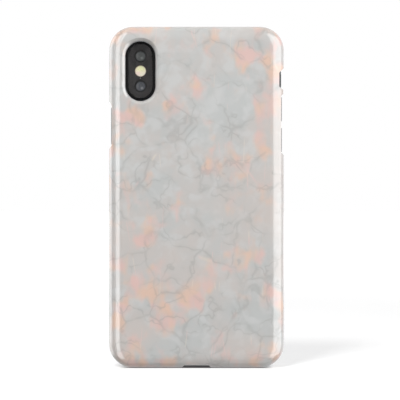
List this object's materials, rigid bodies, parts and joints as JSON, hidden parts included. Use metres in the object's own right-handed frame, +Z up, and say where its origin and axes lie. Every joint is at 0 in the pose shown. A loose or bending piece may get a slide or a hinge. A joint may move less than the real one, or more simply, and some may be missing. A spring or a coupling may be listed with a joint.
{
  "type": "smartphone in a protective case",
  "caption": "Slim smartphone with two rear cameras standing upright in a glossy marble-pattern hard case; buttons, ring switch, lenses, haptic and speaker move.",
  "frame": {"origin": "on the supporting surface, under the middle of the case's bottom edge", "axes": "+Z up along the phone's length, +X to the right as seen from the back, -Y out of the back with the cameras, +Y out of the display"},
  "size_m": [0.0744, 0.0094, 0.1438],
  "materials": {
    "marble_case": "clear-coated hard shell printed with a grey and peach marble pattern",
    "dark_steel": "dark polished stainless steel",
    "insert_resin": "satin moulded-in antenna plastic",
    "bare_steel": "plain rolled stainless steel",
    "display_glass": "polished cover glass",
    "black_ink": "opaque black print",
    "display_black": "dark display that is off",
    "seal_black": "soft black adhesive seal",
    "back_glass_white": "pale back glass, printed inside",
    "camera_black": "black polished ring",
    "camera_glass": "smoked sapphire cover",
    "camera_ink": "dark grey print under the cover",
    "camera_metal": "bead-blasted housing",
    "barrel_black": "ribbed black lens barrel",
    "lens_green": "coated lens, green-grey reflection",
    "lens_blue": "coated lens, blue-grey reflection",
    "flash_cream": "milky lens over two-tone light-emitting diodes",
    "board_blue": "solder-masked circuit board",
    "board_green": "solder-masked circuit board",
    "chip_black": "moulded chip packages",
    "flex_amber": "flexible circuit and emitters",
    "switch_dark": "moulded switch body",
    "signal_orange": "bright orange marker",
    "card_plastic": "white card with gold contacts",
    "battery_black": "laminated foil pouch, black",
    "tungsten": "sintered heavy alloy",
    "spring_steel": "bright spring strip",
    "speaker_black": "glass-filled moulded box",
    "diaphragm": "moulded diaphragm",
    "magnet": "nickel-plated magnet",
    "copper": "enamelled copper",
    "ferrite": "grey ferrite sheet",
    "mic_gold": "gold-plated can",
    "screw_steel": "plated screw"
  },
  "bodies": {
    "phone": {"hard_case": "marble_case", "steel_band": "dark_steel", "antenna_inserts": "insert_resin", "chassis_plate": "bare_steel", "front_glass": "display_glass", "border_mask": "black_ink", "display_panel": "display_black", "display_shield": "bare_steel", "display_frame": "insert_resin", "glass_seals": "seal_black", "back_glass": "back_glass_white", "camera_ring": "camera_black", "camera_cover_glass": "camera_glass", "camera_mask": "camera_ink", "wide_camera_housing": "camera_metal", "tele_camera_housing": "camera_metal", "camera_sensor_boards": "board_green", "flash_diffuser": "flash_cream", "flash_led_board": "flex_amber", "side_button_switch": "switch_dark", "volume_switches": "switch_dark", "button_brackets": "bare_steel", "ring_switch_body": "switch_dark", "sim_tray": "dark_steel", "sim_card": "card_plastic", "sim_reader": "bare_steel", "battery_main_cell": "battery_black", "battery_lower_cell": "battery_black", "logic_board": "board_blue", "board_interposer": "board_green", "radio_board": "board_blue", "board_chips": "chip_black", "board_shield": "bare_steel", "haptic_housing": "bare_steel", "haptic_cover": "bare_steel", "haptic_springs": "spring_steel", "speaker_box": "speaker_black", "speaker_magnet": "magnet", "earpiece_speaker": "speaker_black", "earpiece_mesh": "switch_dark", "front_camera": "barrel_black", "face_sensors": "barrel_black", "charging_port": "bare_steel", "port_tongue": "switch_dark", "microphones": "mic_gold", "charging_coil": "copper", "coil_ferrite": "ferrite", "bottom_screws": "screw_steel", "frame_screws": "screw_steel"},
    "side_key": {"side_button": "dark_steel"},
    "volume_up_key": {"volume_up_button": "dark_steel"},
    "volume_down_key": {"volume_down_button": "dark_steel"},
    "ring_lever": {"ring_switch_lever": "dark_steel", "silent_marker": "signal_orange"},
    "wide_focus": {"wide_lens_barrel": "barrel_black", "wide_lenses": "lens_green"},
    "tele_focus": {"tele_lens_barrel": "barrel_black", "tele_lenses": "lens_blue"},
    "haptic_weight": {"haptic_mass": "tungsten"},
    "speaker_cone": {"speaker_diaphragm": "diaphragm"}
  },
  "joints": [
    {"name": "side_button_press", "type": "slide", "parent": "phone", "child": "side_key", "axis": [1, 0, 0], "range_m": [0, 0.00025], "stiffness_N_per_m": 6000},
    {"name": "volume_up_press", "type": "slide", "parent": "phone", "child": "volume_up_key", "axis": [-1, 0, 0], "range_m": [0, 0.00025], "stiffness_N_per_m": 6000},
    {"name": "volume_down_press", "type": "slide", "parent": "phone", "child": "volume_down_key", "axis": [-1, 0, 0], "range_m": [0, 0.00025], "stiffness_N_per_m": 6000},
    {"name": "ring_switch_slide", "type": "slide", "parent": "phone", "child": "ring_lever", "axis": [0, -1, 0], "range_m": [0, 0.0008]},
    {"name": "wide_focus_slide", "type": "slide", "parent": "phone", "child": "wide_focus", "axis": [0, -1, 0], "range_m": [0, 0.00025], "stiffness_N_per_m": 400},
    {"name": "tele_focus_slide", "type": "slide", "parent": "phone", "child": "tele_focus", "axis": [0, -1, 0], "range_m": [0, 0.00025], "stiffness_N_per_m": 400},
    {"name": "haptic_shake", "type": "slide", "parent": "phone", "child": "haptic_weight", "axis": [1, 0, 0], "range_m": [-0.0006, 0.0006], "stiffness_N_per_m": 3000, "deforming": ["haptic_springs"]},
    {"name": "speaker_stroke", "type": "slide", "parent": "phone", "child": "speaker_cone", "axis": [0, 1, 0], "range_m": [-0.0002, 0.0002], "stiffness_N_per_m": 1500}
  ]
}
